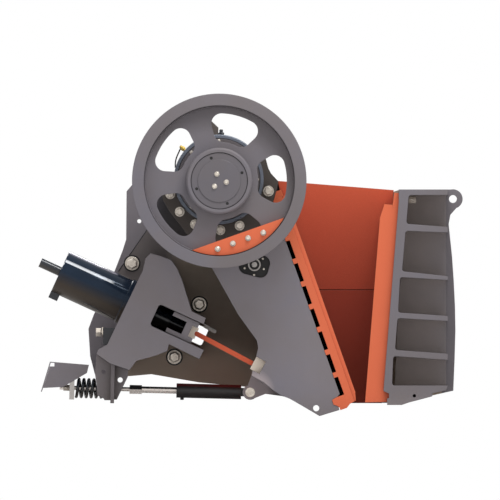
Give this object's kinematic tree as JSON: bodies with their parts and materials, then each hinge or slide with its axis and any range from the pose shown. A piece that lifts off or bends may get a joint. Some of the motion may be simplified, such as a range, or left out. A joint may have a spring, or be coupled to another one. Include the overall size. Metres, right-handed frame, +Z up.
{
  "type": "jaw crusher",
  "caption": "Single-toggle jaw crusher with its near side plate left off, showing the pitman, corrugated jaw dies, toggle plate, setting cylinder, tension rod and flywheels.",
  "frame": {"origin": "middle of the front foot's flat underside, midway across the jaw", "axes": "+X from the drive end to the fixed jaw's front, +Y across the jaw to the far side plate, +Z up"},
  "size_m": [4.0094, 2.492, 3.048],
  "materials": {
    "casting_paint": "satin",
    "wear_orange": "satin",
    "black_gloss": "gloss",
    "chrome": "polished",
    "zinc": "satin",
    "seat_cream": "satin"
  },
  "bodies": {
    "frame": {"far_side_plate": "casting_paint", "front_frame": "casting_paint", "rear_frame": "casting_paint", "spring_bracket": "casting_paint", "far_bearing_housing": "casting_paint", "far_bearing_cap": "casting_paint", "housing_bolts": "zinc", "upper_cheek_plate": "wear_orange", "lower_cheek_plate": "wear_orange", "fixed_jaw_die": "wear_orange", "fixed_jaw_wedge": "wear_orange", "wedge_bolts": "zinc", "rear_frame_bolts": "zinc", "front_frame_bolts": "zinc", "setting_cylinder": "black_gloss", "setting_cylinder_cap": "black_gloss", "cylinder_port_block": "black_gloss", "rear_tie_bolts": "zinc", "rear_tie_blocks": "black_gloss", "window_bar": "zinc"},
    "crankshaft": {"eccentric_shaft": "chrome", "near_flywheel": "casting_paint", "far_flywheel": "casting_paint", "near_counterweight": "wear_orange", "far_counterweight": "wear_orange", "near_hub_plate": "casting_paint", "far_hub_plate": "casting_paint", "wheel_bolts": "zinc"},
    "bearing_rings": {"pitman_bearings": "black_gloss"},
    "pitman": {"pitman": "casting_paint", "moving_jaw_die": "wear_orange", "moving_jaw_clamp": "wear_orange", "near_bearing_cover": "casting_paint", "far_bearing_cover": "casting_paint", "pitman_bolts": "zinc", "pitman_toggle_seat": "seat_cream", "tension_pin": "zinc"},
    "setting_piston": {"setting_piston": "black_gloss", "toggle_beam": "casting_paint", "rear_toggle_seat": "seat_cream"},
    "toggle": {"toggle_plate": "wear_orange"},
    "tension_cylinder": {"tension_cylinder": "black_gloss"},
    "tension_rod": {"tension_rod": "chrome", "spring_plate": "casting_paint", "tension_nut": "zinc", "tension_spring": "black_gloss", "spring_guard": "casting_paint"}
  },
  "joints": [
    {"name": "shaft_spin", "type": "hinge", "parent": "frame", "child": "crankshaft", "pos_m": [-1.656, 0, 2.118], "axis": [0, -1, 0], "continuous": true},
    {"name": "bearing_turn", "type": "hinge", "parent": "crankshaft", "child": "bearing_rings", "pos_m": [-1.66067, 0, 2.1312], "axis": [0, -1, 0], "continuous": true},
    {"name": "jaw_swing", "type": "hinge", "parent": "bearing_rings", "child": "pitman", "pos_m": [-1.66067, 0, 2.1312], "axis": [0, -1, 0], "range_deg": [-2.1, 0.8]},
    {"name": "piston_slide", "type": "slide", "parent": "frame", "child": "setting_piston", "axis": [0.9094, 0, -0.416], "range_m": [-0.05164, 0.01967]},
    {"name": "toggle_tilt", "type": "hinge", "parent": "setting_piston", "child": "toggle", "pos_m": [-1.868, 0, 0.672], "axis": [0, -1, 0], "range_deg": [-3.53, 1.34]},
    {"name": "tension_swing", "type": "hinge", "parent": "pitman", "child": "tension_cylinder", "pos_m": [-1.364, 0, 0.12], "axis": [0, -1, 0], "range_deg": [-0.6, 1.56]},
    {"name": "rod_slide", "type": "slide", "parent": "tension_cylinder", "child": "tension_rod", "axis": [-0.9997, 0, 0.025], "range_m": [-0.07452, 0.02839]}
  ],
  "couplings": [
    {"joint": "bearing_turn", "follows": "shaft_spin", "ratio": -1},
    {"joint": "piston_slide", "follows": "jaw_swing", "m_per_rad": 1.3881},
    {"joint": "toggle_tilt", "follows": "jaw_swing", "ratio": 1.6562},
    {"joint": "tension_swing", "follows": "jaw_swing", "ratio": -0.7335},
    {"joint": "rod_slide", "follows": "jaw_swing", "m_per_rad": 2.0032}
  ]
}
